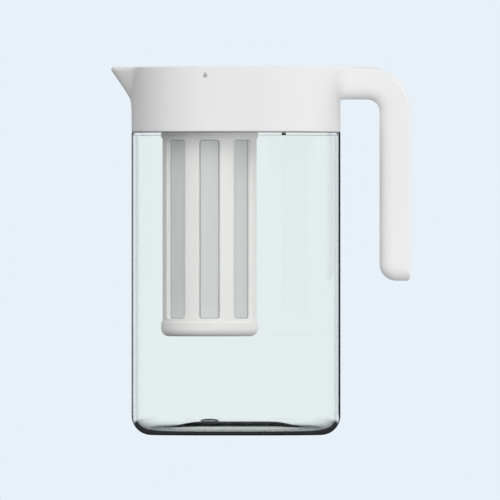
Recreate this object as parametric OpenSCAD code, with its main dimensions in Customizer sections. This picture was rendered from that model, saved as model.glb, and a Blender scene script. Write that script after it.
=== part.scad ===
// Cold water jug with a clear obround body, a moulded collar with spout and handle,
// a rotary lid in the collar and a strainer that hangs from the lid.
// Millimetres. The origin is the centre of the base, on the surface that the jug stands on.
// The spout points to -X, the handle to +X and the front with the drop mark to -Y.

/* [Vessel] */
// Length of the clear body, spout end to handle end
body_length = 134; // [128:1:140]
// Depth of the clear body, front to back
body_depth = 100; // [98:1:104]
// Height of the clear body up to its joint with the collar
body_height = 194.5; // [192:0.5:220]
// Thickness of the clear wall
wall = 2.4; // [2.2:0.1:2.8]
// Radius of the outer bottom edge
base_radius = 12.5; // [9:0.5:14]
// Thickness of the floor
floor_thick = 2.5; // [2.2:0.1:3.5]
// Rise of the raised middle of the floor
punt_rise = 5.5; // [4:0.5:7]

/* [Collar] */
// Height of the collar, joint to top
collar_height = 41.5; // [41:0.5:46]
// Thickness of the collar's outer wall
collar_wall = 2.6; // [2.4:0.1:3]
// Reach of the spout's lip in front of the collar
spout_reach = 13; // [9:0.5:16]
// Forward lean of the spout, run over rise
spout_lean = 0.696; // [0.6:0.02:0.8]
// Narrowing of the spout, reach over half width
spout_taper = 0.85; // [0.65:0.05:1]

/* [Handle] */
// Reach of the handle past the end of the body
handle_reach = 44.7; // [42:0.5:52]
// Thickness of the handle, inner face to outer face
handle_thick = 20.4; // [19:0.2:22]
// Width of the handle, front to back
handle_width = 25; // [23:0.5:28]
// Height of the handle's open lower end above the base
handle_end = 99; // [80:1:120]
// Outer radius of the handle's bend
bend_radius = 28; // [27:0.5:30]

/* [Lid] */
// Radius of the round bore in the collar
bore_radius = 33; // [32.8:0.1:33.4]
// Radius of the lid's flange
flange_radius = 38.3; // [37.8:0.1:38.8]
// Width of the pour port
port_width = 20; // [14:1:22]
// Width of the grip bar across the dial
grip_width = 9; // [7:0.5:11]

/* [Strainer] */
// Outer radius of the strainer's ribs
strainer_radius = 30.15; // [30:0.05:30.4]
// Height of the strainer's closed bottom above the base
strainer_end = 63.4; // [40:0.2:80]
// Width of the strainer's middle window, on its front and its back
front_window = 13.6; // [8:0.2:14]
// Width of the windows beside it
side_window = 17; // [8:0.2:18]
// Turn from the middle window to the one beside it, in degrees
side_turn = 48; // [42:0.5:54]

/* [Hidden] */
$fn = 120;
cut = 1;
running_gap = 0.3;

// The obround plan: two round ends of end_radius, whose centres are end_offset from the middle
end_radius = body_depth / 2;
end_offset = (body_length - body_depth) / 2;
lid_x = -end_offset;

// Levels, bottom to top
shoulder = 2.3;
neck_rise = 11.6;
neck_top = body_height + neck_rise;
seal_thick = 2;
plate_thick = 2.4;
plate_bottom = neck_top + seal_thick;
plate_top = plate_bottom + plate_thick;
collar_top = body_height + collar_height;
deck_thick = 2.6;
seat_z = collar_top - 4.4;
seat_thick = 2.4;
port_low = seat_z - 15.6;
port_high = seat_z - 4;

// The floor's raised middle, measured from an end's axis
punt_flat = 7;
punt_foot = 30;
punt_steps = 12;
gate_radius = 6;
gate_rise = 2;

// The neck, its snap bead and the two locating keys under the collar
neck_radius = end_radius - collar_wall - 0.5;
bead_rise = 0.8;
bead_height = 1.8;
bead_z = body_height + 5;
key_x = 29.8;
key_inset = 1.7;
key_size = [2.6, 1.8, 1.9];
key_gap = 0.2;

// The collar's edges and the rows of points that the spout is lofted through
edge_low = 0.4;
edge_top = 0.8;
edge_steps = 3;
spout_foot = body_height + 8.5;
lip_height = 2;
lip_z = collar_top - lip_height;
spout_rows = 12;
spout_columns = 24;
column_spread = 1.6;
blend = 2;
blend_tail = 0.08;
tip_round = 2.5;
channel_wall = 2;
drop_radius = 1.4;

// The lid's seat and sleeve
sleeve_wall = 2.2;
seat_radius = flange_radius + running_gap;
plug_radius = bore_radius - 0.4;
plug_bore = plug_radius - 2.6;
drum_radius = plug_bore - 0.4;
drum_wall = 2.2;
drum_bottom = port_low - 10.3;
drum_top = seat_z - 0.6;
well_radius = 21.4;
well_wall = 2;
well_floor = drum_top - 5;
skirt_radius = 28.6;
skirt_wall = 2.1;
skirt_bottom = body_height - 1.5;
dial_floor = seat_z + 1.6;
dial_radius = flange_radius - 2.6;
ring_radius = 0.9;
groove_depth = 1.55;
groove_half = 1.1;
lower_ring_z = port_low - 2.7;
upper_ring_z = port_high + 2.5;
drum_ring_z = drum_top - 1;
port_corner = 2;
window_from = well_radius + well_wall + 0.6;
frame_edge = 1.6;
frame_depth = 0.8;
screw_radius = 1.45;
screw_bite = 7;
mark_half = 0.8;

// The strainer
strainer_wall = 2.15;
strainer_ring = 31.1;
strainer_top = plug_ledge() - running_gap;
ring_bottom = body_height - 3.8;
window_low = strainer_end + 11.4;
window_high = body_height - 5.2;
window_corner = 2.2;
mesh_thick = 0.4;

function plug_ledge() = drum_bottom - 2.3;

// The handle's bend, whose axis runs front to back
bend_x = end_offset + end_radius + handle_reach - bend_radius;
bend_z = collar_top - bend_radius;
bend_inner = bend_radius - handle_thick;
arm_start = end_offset + end_radius - 2.8;
inner_round = 8;
outer_round = 2.5;
root_round = 7;
inlay_thick = 2.4;
inlay_half = 4.1;
inlay_low = handle_end + 16;
inlay_arm = end_offset + end_radius + 4;

// Height of the floor's underside at a distance from an end's axis
function punt(r) = punt_rise * (1 + cos(180 * (r - punt_flat) / (punt_foot - punt_flat))) / 2;

// A ramp that leaves zero smoothly
function ramp(v) = (v + sqrt(v * v + blend * blend)) / 2;

// How far the spout stands in front of the round end, at a place across it and a height
function spout_crest(z) = spout_reach + blend_tail - blend * blend / (4 * spout_reach)
    - spout_lean * max(lip_z - z, 0);
function spout_bulge(y, z) =
    max(ramp(spout_crest(z) - spout_taper * (norm([y, tip_round]) - tip_round)) - blend_tail, 0);

// The collar's rounded upper and lower edges, as [inset, height] pairs
lower_edge = [[edge_low, body_height], [0, body_height + edge_low]];
upper_edge = [
    for (i = [0 : edge_steps])
        let (t = 90 * i / edge_steps)
        [edge_top * (1 - cos(t)), collar_top - edge_top * (1 - sin(t))]
];
spout_levels = concat(
    lower_edge,
    [for (i = [0 : spout_rows]) [0, spout_foot + (lip_z - spout_foot) * i / spout_rows]],
    upper_edge
);

// A flat obround, end_radius plus grow at its ends
module obround(grow) {
    for (side = [-1, 1])
        translate([side * end_offset, 0])
            circle(end_radius + grow);
    square([2 * end_offset, 2 * (end_radius + grow)], center = true);
}

module obround_block(grow, low, high) {
    translate([0, 0, low])
        linear_extrude(high - low)
            obround(grow);
}

// Sweeps a section, distance from an end's axis by height, round the obround
module obround_sweep() {
    for (side = [-1, 1])
        translate([side * end_offset, 0, 0])
            rotate(-90 * side)
                rotate_extrude(angle = 180)
                    children();
    for (side = [0, 1])
        mirror([0, side, 0])
            translate([-end_offset, 0, 0])
                rotate([90, 0, 90])
                    linear_extrude(2 * end_offset)
                        children();
}

// A flat rectangle with round corners, centred
module rounded_plate(size, r) {
    square([size.x - 2 * r, size.y], center = true);
    square([size.x, size.y - 2 * r], center = true);
    for (x = [-1, 1], y = [-1, 1])
        translate([x * (size.x / 2 - r), y * (size.y / 2 - r)])
            circle(r);
}

// A ring of round section about the lid's axis
module seal_ring(radius, z) {
    translate([lid_x, 0, z])
        rotate_extrude()
            translate([radius, 0])
                circle(ring_radius);
}

// A tube about the lid's axis
module lid_tube(outer, inner, low, high) {
    translate([lid_x, 0, low])
        difference() {
            cylinder(r = outer, h = high - low);
            translate([0, 0, -cut])
                cylinder(r = inner, h = high - low + 2 * cut);
        }
}

// A column of the vessel's section, with a round lower corner
module column_section(radius, height, corner) {
    square([radius - corner, height]);
    translate([0, corner])
        square([radius, height - corner]);
    translate([radius - corner, corner])
        circle(corner);
}

module vessel_section() {
    curve = [
        for (i = [0 : punt_steps])
            let (r = punt_flat + (punt_foot - punt_flat) * i / punt_steps)
            [r, punt(r)]
    ];
    raised = [for (i = [punt_steps : -1 : 0]) curve[i] + [0, floor_thick]];
    difference() {
        union() {
            column_section(end_radius, body_height, base_radius);
            translate([neck_radius - wall, body_height - cut])
                square([wall, neck_rise + cut]);
            translate([neck_radius - cut, bead_z])
                square([bead_rise + cut, bead_height]);
        }
        translate([0, floor_thick])
            column_section(end_radius - wall, body_height - shoulder - floor_thick, base_radius - wall);
        translate([0, body_height - shoulder - cut])
            square([neck_radius - wall, neck_rise + shoulder + 2 * cut]);
        polygon(concat([[0, -cut], [0, punt_rise]], curve, [[punt_foot, -cut]]));
    }
    polygon(concat([[0, punt_rise]], curve, raised, [[0, punt_rise + floor_thick]]));
}

// Places a child at each locating key: front right and back left
module at_keys() {
    key_y = -sqrt(pow(end_radius - key_inset, 2) - pow(key_x - end_offset, 2));
    for (turn = [0, 180])
        rotate(turn)
            translate([key_x, key_y, body_height])
                children();
}

module vessel() {
    gate_ball = (gate_radius * gate_radius / gate_rise + gate_rise) / 2;
    color([0.87, 0.93, 0.94, 0.35])
        difference() {
            union() {
                obround_sweep()
                    vessel_section();
                intersection() {
                    translate([lid_x, 0, punt_rise + floor_thick + gate_rise - gate_ball])
                        sphere(gate_ball);
                    translate([lid_x, 0, punt_rise + floor_thick / 2])
                        cylinder(r = gate_radius + cut, h = floor_thick + gate_rise);
                }
            }
            translate([lid_x, 0, punt_rise - cut])
                cylinder(r = gate_radius / 2, h = cut + gate_rise / 2);
            at_keys()
                translate([0, 0, (cut - key_size.z) / 2])
                    cube(key_size + [0, 0, cut], center = true);
        }
}

// The gasket on the neck: a flat ring, with a lip that hangs inside the neck
module neck_seal() {
    lip_outer = neck_radius - wall - end_radius - 0.2;
    lip_thick = 1.4;
    lip_bottom = neck_top - 3;
    color([0.86, 0.88, 0.88])
        difference() {
            union() {
                obround_block(neck_radius - end_radius - 0.1, neck_top, plate_bottom);
                obround_block(lip_outer, lip_bottom, plate_bottom);
            }
            obround_block(lip_outer - lip_thick, lip_bottom - cut, plate_bottom + cut);
        }
}

// The collar's closing plate, with a rim that centres it on the sleeve
module collar_floor() {
    rim_inner = bore_radius + sleeve_wall + running_gap;
    rim_wall = 1.7;
    rim_rise = 2.4;
    color([0.9, 0.9, 0.9])
        union() {
            difference() {
                obround_block(-collar_wall - running_gap, plate_bottom, plate_top);
                translate([lid_x, 0, plate_bottom - cut])
                    cylinder(r = bore_radius, h = plate_thick + 2 * cut);
            }
            lid_tube(rim_inner + rim_wall, rim_inner, plate_top - cut, plate_top + rim_rise);
        }
}

// The round end of the collar that runs out into the spout, lofted level by level
module spout_end() {
    count = 2 * spout_columns;
    points = [
        for (level = spout_levels, i = [-spout_columns : spout_columns])
            let (
                u = i / spout_columns,
                t = 180 + 90 * sign(u) * pow(abs(u), column_spread),
                r = end_radius - level[0],
                y = r * sin(t)
            )
            [lid_x + r * cos(t) - spout_bulge(y, level[1]), y, level[1]]
    ];
    row = count + 1;
    last = len(spout_levels) - 1;
    sides = [
        for (k = [0 : last - 1], i = [0 : count - 1], half = [0, 1])
            let (p = k * row + i)
            half == 0 ? [p, p + row, p + row + 1] : [p, p + row + 1, p + 1]
    ];
    back = [
        for (k = [0 : last - 1], half = [0, 1])
            let (p = k * row, q = k * row + count)
            half == 0 ? [p, q, q + row] : [p, q + row, p + row]
    ];
    bottom = [[for (i = [0 : count]) i]];
    top = [[for (i = [count : -1 : 0]) last * row + i]];
    polyhedron(points, concat(sides, back, bottom, top));
}

// The rest of the collar's block: the straight middle and the round handle end
module collar_rear() {
    section = concat(
        [[0, body_height]],
        [for (e = concat(lower_edge, upper_edge)) [end_radius - e[0], e[1]]],
        [[0, collar_top]]
    );
    translate([end_offset, 0, 0])
        rotate(-90)
            rotate_extrude(angle = 180)
                polygon(section);
    for (side = [0, 1])
        mirror([0, side, 0])
            translate([-end_offset, 0, 0])
                rotate([90, 0, 90])
                    linear_extrude(2 * end_offset)
                        polygon(section);
}

// The pour channel: a trough from the port to the lip, drawn through three stations.
// Each is its place along X, its floor's height and its half widths at the floor and the top.
module pour_channel(grow) {
    port_end = [lid_x - bore_radius + 4, port_low, 8, 13];
    wall_pass = [lid_x - end_radius + channel_wall + 0.6, port_low + 1.5, 5, 15.9];
    lip_end = [lid_x - end_radius - spout_reach + 2.2, lip_z, 0.4, 2];
    slice = 0.01;
    high = collar_top + 4;
    hull()
        for (s = [port_end, wall_pass, lip_end])
            translate([s[0], 0, 0])
                rotate([90, 0, 90])
                    linear_extrude(slice)
                        polygon([
                            [-s[2] - grow, s[1] - grow], [s[2] + grow, s[1] - grow],
                            [s[3] + grow, high], [-s[3] - grow, high]
                        ]);
}

// The handle's section, distance from the bend's axis by width: broad inner rounds, small outer ones
module handle_section() {
    half = handle_width / 2;
    translate([bend_inner + inner_round, -half])
        square([handle_thick - inner_round - outer_round, handle_width]);
    translate([bend_inner, -half + inner_round])
        square([inner_round, handle_width - 2 * inner_round]);
    translate([bend_radius - outer_round - cut, -half + outer_round])
        square([outer_round + cut, handle_width - 2 * outer_round]);
    for (side = [-1, 1]) {
        translate([bend_inner + inner_round, side * (half - inner_round)])
            circle(inner_round);
        translate([bend_radius - outer_round, side * (half - outer_round)])
            circle(outer_round);
    }
}

// Runs a section along the arm, round the bend and down the grip
module handle_run(arm_from, grip_to) {
    translate([arm_from, 0, bend_z])
        rotate([90, 0, 90])
            linear_extrude(bend_x - arm_from)
                rotate(90)
                    children();
    translate([bend_x, 0, bend_z])
        rotate([90, 0, 0])
            rotate_extrude(angle = 90)
                children();
    translate([bend_x, 0, grip_to])
        linear_extrude(bend_z - grip_to)
            children();
}

// The collar's round end runs into the arm: on each side the arm's section turns about an upright axis
module handle_root() {
    half = handle_width / 2;
    centre_y = half + root_round;
    centre_x = end_offset + sqrt(pow(end_radius + root_round, 2) - pow(centre_y, 2));
    out = [centre_x - end_offset, centre_y] / (end_radius + root_round);
    touch = [end_offset, 0] + end_radius * out;
    for (side = [0, 1])
        mirror([0, side, 0])
            intersection() {
                translate([0, 0, bend_z + bend_inner])
                    linear_extrude(handle_thick)
                        polygon([
                            [arm_start + 1, 0], [centre_x, 0], [centre_x, half],
                            touch, touch - collar_wall / 2 * out
                        ]);
                translate([centre_x, centre_y, bend_z])
                    rotate_extrude()
                        translate([root_round + half, 0])
                            mirror([1, -1, 0])
                                handle_section();
            }
}

// The side view of the grip's open end: a broad inner corner and a small outer one
module grip_end_outline() {
    inner_corner = 11;
    outer_corner = 2.5;
    low = handle_end;
    left = bend_x + bend_inner;
    right = bend_x + bend_radius;
    translate([left + inner_corner, low + inner_corner])
        circle(inner_corner);
    translate([right - outer_corner, low + outer_corner])
        circle(outer_corner);
    translate([left + inner_corner, low])
        square([handle_thick - inner_corner - outer_corner, inner_corner]);
    translate([left + inner_corner, low + outer_corner])
        square([handle_thick - inner_corner, inner_corner]);
    translate([arm_start - cut, low + inner_corner])
        square([right - arm_start + 2 * cut, collar_top - low]);
}

module handle() {
    intersection() {
        handle_run(arm_start, handle_end)
            handle_section();
        translate([0, handle_width, 0])
            rotate([90, 0, 0])
                linear_extrude(2 * handle_width)
                    grip_end_outline();
    }
}

// The groove on the handle's inner face: a mouth that seats the inlay, over a narrower core
module handle_groove() {
    core_half = 3;
    core_depth = 12;
    handle_run(inlay_arm, inlay_low)
        union() {
            translate([bend_inner - cut, -inlay_half])
                square([cut + inlay_thick, 2 * inlay_half]);
            translate([bend_inner, -core_half])
                square([core_depth, 2 * core_half]);
        }
}

module handle_inlay() {
    color([0.88, 0.88, 0.88])
        handle_run(inlay_arm + 0.1, inlay_low + 0.1)
            translate([bend_inner, -inlay_half + 0.1])
                square([inlay_thick, 2 * inlay_half - 0.2]);
}

// The outline of the drop mark, upright: an arc whose ends run straight to the tip
module drop_outline(r) {
    tip = 1.75;
    side = acos(1 / tip);
    arc_steps = 24;
    polygon(concat(
        [[0, tip * r]],
        [
            for (i = [0 : arc_steps])
                let (t = 90 + side + (360 - 2 * side) * i / arc_steps)
                r * [cos(t), sin(t)]
        ]
    ));
}

// The drop mark's prism, from a depth under the collar's front face to its surface
module drop_prism(r, out) {
    drop_depth = 0.5;
    drop_x = lid_x - 2.7;
    drop_z = collar_top - 5.8;
    translate([drop_x, -end_radius + drop_depth, drop_z])
        rotate([90, 0, 0])
            linear_extrude(drop_depth + out)
                drop_outline(r);
}

module pour_mark() {
    color([0.66, 0.69, 0.7])
        drop_prism(drop_radius - 0.05, -0.06);
}

module collar_shell() {
    color([0.92, 0.92, 0.92])
        difference() {
            union() {
                difference() {
                    union() {
                        spout_end();
                        collar_rear();
                    }
                    obround_block(-collar_wall, body_height - cut, plate_top);
                    obround_block(-collar_wall - 1, plate_top - cut, collar_top - deck_thick);
                    obround_block(neck_radius + bead_rise + running_gap - end_radius,
                        bead_z - 0.2, bead_z + bead_height + 0.4);
                }
                translate([lid_x, 0, plate_top])
                    cylinder(r = bore_radius + sleeve_wall, h = collar_top - deck_thick - plate_top + cut);
                translate([lid_x, 0, seat_z - seat_thick])
                    cylinder(r = seat_radius + sleeve_wall, h = collar_top - cut - seat_z + seat_thick);
                intersection() {
                    pour_channel(channel_wall);
                    obround_block(-collar_wall / 2, plate_top, collar_top - cut);
                }
                handle();
                handle_root();
                at_keys()
                    translate([0, 0, (cut - key_size.z) / 2 + key_gap])
                        cube(key_size + [-2 * key_gap, -2 * key_gap, cut - 2 * key_gap], center = true);
            }
            translate([lid_x, 0, plate_top - cut])
                cylinder(r = bore_radius, h = collar_height);
            translate([lid_x, 0, seat_z])
                cylinder(r = seat_radius, h = collar_height);
            difference() {
                pour_channel(0);
                translate([lid_x, 0, seat_z - seat_thick])
                    cylinder(r = seat_radius, h = collar_height);
            }
            handle_groove();
            drop_prism(drop_radius, cut);
        }
}

// A window through a wall about the lid's axis, facing away from it at an angle
module wall_window(angle, width, low, high, corner, inner, outer) {
    translate([lid_x, 0, (low + high) / 2])
        rotate(angle)
            translate([inner, 0, 0])
                rotate([90, 0, 90])
                    linear_extrude(outer - inner)
                        rounded_plate([width, high - low], corner);
}

module lid_plug() {
    section = [
        [skirt_radius - skirt_wall, skirt_bottom], [skirt_radius, skirt_bottom],
        [skirt_radius, plug_ledge()], [plug_radius, plug_ledge()],
        [plug_radius, seat_z], [flange_radius, seat_z], [flange_radius, collar_top - edge_top],
        [flange_radius - edge_top, collar_top], [dial_radius + 0.4, collar_top],
        [dial_radius + 0.4, dial_floor], [plug_bore, dial_floor],
        [plug_bore, drum_bottom - running_gap], [skirt_radius - skirt_wall, drum_bottom - running_gap]
    ];
    color([0.93, 0.93, 0.93])
        difference() {
            translate([lid_x, 0, 0])
                rotate_extrude()
                    polygon(section);
            for (z = [lower_ring_z, upper_ring_z])
                lid_tube(plug_radius + cut, plug_radius - groove_depth, z - groove_half, z + groove_half);
            wall_window(180, port_width, port_low, port_high, port_corner, window_from, plug_radius + cut);
            port_frame(frame_edge, plug_bore - cut, plug_bore + frame_depth);
        }
}

module lid_lower_seal() {
    color([0.8, 0.82, 0.82])
        seal_ring(plug_radius - 0.6, lower_ring_z);
}

module lid_upper_seal() {
    color([0.8, 0.82, 0.82])
        seal_ring(plug_radius - 0.6, upper_ring_z);
}

// A curved plate round the port, wider than it by edge on every side
module port_frame(edge, inner, outer) {
    intersection() {
        lid_tube(outer, inner, port_low - 2 * edge, port_high + 2 * edge);
        wall_window(180, port_width + 2 * edge, port_low - edge, port_high + edge, port_corner + 0.5,
            window_from, plug_radius);
    }
}

// The soft frame round the port, between the plug and the turning drum
module port_seal() {
    color([0.8, 0.82, 0.82])
        difference() {
            port_frame(frame_edge - 0.1, drum_radius + 0.1, plug_bore + frame_depth - 0.05);
            wall_window(180, port_width, port_low, port_high, port_corner, window_from, plug_radius + cut);
        }
}

// The dial: a rim round a bowl with a grip bar across it, on a foot ring that rests on the drum
module lid_dial() {
    bowl_radius = well_radius - running_gap;
    bowl_wall = 1.8;
    bowl_floor = well_floor + bowl_wall;
    bowl_bore = bowl_radius - bowl_wall;
    foot_inner = bowl_radius + 4;
    foot_outer = foot_inner + 2;
    rim_low = dial_floor + running_gap;
    section = [
        [0, well_floor], [bowl_radius, well_floor], [bowl_radius, rim_low],
        [foot_inner, rim_low], [foot_inner, drum_top], [foot_outer, drum_top],
        [foot_outer, rim_low], [dial_radius, rim_low], [dial_radius, collar_top - edge_top],
        [dial_radius - edge_top, collar_top], [bowl_bore + edge_top, collar_top],
        [bowl_bore, collar_top - edge_top], [bowl_bore, bowl_floor], [0, bowl_floor]
    ];
    color([0.93, 0.93, 0.93])
        translate([lid_x, 0, 0])
            difference() {
                union() {
                    rotate_extrude()
                        polygon(section);
                    translate([-bowl_radius + bowl_wall / 2, 0, 0])
                        rotate([90, 0, 90])
                            linear_extrude(2 * bowl_radius - bowl_wall)
                                polygon([
                                    [-grip_width / 2, well_floor + 1], [grip_width / 2, well_floor + 1],
                                    [grip_width / 2 - 0.8, collar_top - edge_top],
                                    [grip_width / 2 - 1.6, collar_top],
                                    [-grip_width / 2 + 1.6, collar_top],
                                    [-grip_width / 2 + 0.8, collar_top - edge_top]
                                ]);
                }
                translate([0, 0, well_floor - cut])
                    cylinder(r = screw_radius + 0.05, h = cut + screw_bite + 1);
                dial_mark(mark_half, cut);
            }
}

// The pointer's slot in the dial's rim, on the dial's own axes
module dial_mark(half, out) {
    mark_depth = 0.6;
    mark_from = 25;
    mark_to = 31.5;
    translate([0, 0, collar_top - mark_depth])
        linear_extrude(mark_depth + out) {
            translate([mark_from, -half])
                square([mark_to - mark_from, 2 * half]);
            for (x = [mark_from, mark_to])
                translate([x, 0])
                    circle(half);
        }
}

module dial_pointer() {
    color([0.66, 0.69, 0.7])
        translate([lid_x, 0, 0])
            dial_mark(mark_half - 0.05, 0);
}

// The drum that turns in the plug: a wall with the valve's window, hung from a roof with a well
module valve_drum() {
    inner = drum_radius - drum_wall;
    roof_low = drum_top - 2;
    groove_low = drum_ring_z - 0.9;
    groove_high = drum_ring_z + 0.9;
    section = [
        [0, well_floor - well_wall], [well_radius + well_wall, well_floor - well_wall],
        [well_radius + well_wall, roof_low], [inner, roof_low], [inner, drum_bottom],
        [drum_radius, drum_bottom], [drum_radius, drum_top], [well_radius, drum_top],
        [well_radius, well_floor], [0, well_floor]
    ];
    color([0.9, 0.9, 0.9])
        difference() {
            translate([lid_x, 0, 0])
                rotate_extrude()
                    polygon(section);
            wall_window(-90, port_width, port_low, port_high, port_corner, window_from, drum_radius + cut);
            lid_tube(drum_radius + cut, drum_radius - 1.4, groove_low, groove_high);
            translate([lid_x, 0, well_floor - well_wall - cut])
                cylinder(r = screw_radius + 0.25, h = well_wall + 2 * cut);
        }
}

module drum_seal() {
    color([0.8, 0.82, 0.82])
        translate([lid_x, 0, drum_ring_z])
            rotate_extrude()
                translate([drum_radius - 0.55, 0])
                    circle(0.8);
}

// The cross-head screw that holds the drum to the dial
module dial_screw() {
    head_radius = 3;
    head_height = 2.2;
    head_z = well_floor - well_wall - head_height;
    cross = [0.8, 3.6, 2.4];
    color([0.75, 0.76, 0.78])
        translate([lid_x, 0, head_z])
            difference() {
                union() {
                    cylinder(r = head_radius, h = head_height);
                    cylinder(r = screw_radius, h = head_height + well_wall + screw_bite);
                }
                for (turn = [0, 90])
                    rotate(turn)
                        cube(cross, center = true);
            }
}

module strainer_frame() {
    inner = strainer_radius - strainer_wall;
    ring_bore = skirt_radius + running_gap;
    cup_corner = 5.2;
    cup_top = strainer_end + 9.2;
    floor_high = strainer_end + 2.2;
    color([0.93, 0.93, 0.93])
        difference() {
            translate([lid_x, 0, 0])
                rotate_extrude()
                    difference() {
                        union() {
                            translate([0, strainer_end])
                                column_section(strainer_ring, cup_top - strainer_end, cup_corner);
                            polygon([
                                [0, cup_top], [strainer_ring, cup_top],
                                [strainer_radius, cup_top + 1], [strainer_radius, ring_bottom - 1],
                                [strainer_ring, ring_bottom], [strainer_ring, strainer_top],
                                [0, strainer_top]
                            ]);
                        }
                        translate([0, floor_high])
                            column_section(inner, strainer_top - floor_high + cut, cup_corner - 2);
                        translate([0, skirt_bottom - 1])
                            square([ring_bore, strainer_top]);
                    }
            for (face = [-90, 90], i = [-1 : 1])
                wall_window(face + side_turn * i, i == 0 ? front_window : side_window,
                    window_low, window_high, window_corner, inner - 5, strainer_ring + cut);
        }
}

module strainer_mesh() {
    outer = strainer_radius - strainer_wall - 0.05;
    color([0.79, 0.81, 0.81])
        lid_tube(outer, outer - mesh_thick, window_low - 2, window_high + 2);
}

vessel();
neck_seal();
collar_floor();
collar_shell();
handle_inlay();
pour_mark();
lid_plug();
lid_upper_seal();
lid_lower_seal();
port_seal();
lid_dial();
dial_pointer();
valve_drum();
drum_seal();
dial_screw();
strainer_frame();
strainer_mesh();
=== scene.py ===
import math

import bmesh
import bpy
import numpy as np
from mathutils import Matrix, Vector


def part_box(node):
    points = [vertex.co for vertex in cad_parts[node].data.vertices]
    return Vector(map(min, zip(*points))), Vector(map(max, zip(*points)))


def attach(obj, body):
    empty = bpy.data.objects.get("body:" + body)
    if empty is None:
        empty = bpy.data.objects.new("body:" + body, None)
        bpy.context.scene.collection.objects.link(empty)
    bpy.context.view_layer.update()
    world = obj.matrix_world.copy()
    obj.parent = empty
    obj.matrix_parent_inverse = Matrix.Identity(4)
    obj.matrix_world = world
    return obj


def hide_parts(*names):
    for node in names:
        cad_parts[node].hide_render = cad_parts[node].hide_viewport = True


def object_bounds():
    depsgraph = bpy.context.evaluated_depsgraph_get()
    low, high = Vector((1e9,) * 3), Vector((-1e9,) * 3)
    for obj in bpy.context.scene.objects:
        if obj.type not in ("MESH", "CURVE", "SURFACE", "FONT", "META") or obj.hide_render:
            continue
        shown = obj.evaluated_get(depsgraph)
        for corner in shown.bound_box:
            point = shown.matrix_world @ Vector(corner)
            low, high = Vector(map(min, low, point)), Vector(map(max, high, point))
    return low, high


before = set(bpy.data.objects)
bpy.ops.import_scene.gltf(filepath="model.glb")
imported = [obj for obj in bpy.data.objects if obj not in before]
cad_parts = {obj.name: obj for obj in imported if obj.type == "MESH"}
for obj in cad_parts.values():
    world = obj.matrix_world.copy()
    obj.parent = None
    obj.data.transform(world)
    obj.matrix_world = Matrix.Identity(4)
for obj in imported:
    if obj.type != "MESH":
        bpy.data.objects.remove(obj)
cad_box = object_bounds()

# Lengths are in millimetres until a mesh is made, in the part's own frame
MM = 0.001

# The plan and the levels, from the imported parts
vessel_low, vessel_high = (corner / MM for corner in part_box("vessel"))
END_RADIUS = (vessel_high.y - vessel_low.y) / 2
END_OFFSET = (vessel_high.x - vessel_low.x) / 2 - END_RADIUS
NECK_TOP = vessel_high.z
LID_X = -END_OFFSET
COLLAR_TOP = cad_box[1].z / MM
HANDLE_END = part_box("collar_shell")[0].z / MM
HANDLE_OUT = cad_box[1].x / MM
STRAINER_LOW, STRAINER_HIGH = (corner.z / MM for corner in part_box("strainer_frame"))
PLATE_THICK = 2.4
PLATE_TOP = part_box("collar_floor")[0].z / MM + PLATE_THICK

# A guard against dividing by zero, and the distance in metres at which two vertices are one
TINY = 1e-9
SAME_PLACE = 1e-7

# The clear vessel
JOINT_Z = 194.5
WALL = 2.4
FLOOR = 2.5
SHOULDER = 2.3
SHOULDER_FILLET = 0.3
STEP_ROUND = 0.06
TOP_EDGE = 0.65
BASE_ROUND = 12.5
NECK_RADIUS = 46.9
NECK_EDGE = 0.5
BEAD_Z = JOINT_Z + 5
BEAD_HEIGHT = 1.8
BEAD_RISE = 0.8
BEAD_FILLET = 0.2
BEAD_EDGE = 0.3

# Extra rows of points this close to the ends of a straight wall keep its smooth shading flat
HOLD = 0.6
STEP_HOLD = 0.15

# The raised middle of its floor, above and beneath, and the gate mark on it
PUNT_RISE = 4.8
PUNT_UNDER = 4.0
PUNT_FLAT = 7.0
PUNT_FOOT = 30.0
GATE_RADIUS = 6.0
GATE_RISE = 1.75
GATE_WALL = 1.2
GATE_Z = 8.1

# The collar with its spout, and the bore and seat that take the lid
COLLAR_WALL = 2.6
DECK = 2.6
EDGE_TOP = 0.9
EDGE_LOW = 0.4
SPOUT_REACH = 13.0
SPOUT_LEAN = 0.696
SPOUT_HALF = 17.0
SPOUT_BLEND = 2.0
BLEND_TAIL = 0.08
SPOUT_LEAST = 0.01
LIP_Z = COLLAR_TOP - 2
BORE_RADIUS = 33.0
BORE_EDGE = 0.5
SLEEVE_WALL = 2.2
SEAT_RADIUS = 38.6
SEAT_Z = COLLAR_TOP - 4.4
SEAT_THICK = 2.4
WALLS_TOP = COLLAR_TOP - 1
BORE_LOW = PLATE_TOP - 1
PORT_LOW = SEAT_Z - 15.6

# The pour channel's floor and half widths at three stations: the lip, the collar's wall and the port
CHANNEL_WALL = 2.0
CHANNEL_LIP = LID_X - END_RADIUS - SPOUT_REACH + 2.2
CHANNEL_MIDDLE = LID_X - END_RADIUS + CHANNEL_WALL + 0.6
CHANNEL_PORT = LID_X - BORE_RADIUS + 4
CHANNEL_FLOOR = (LIP_Z, PORT_LOW + 1.5, PORT_LOW)
CHANNEL_LOW_HALF = (0.4, 5.0, 8.0)
CHANNEL_HIGH_HALF = (2.0, 15.9, 13.0)
CHANNEL_TOP = COLLAR_TOP + 4

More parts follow.
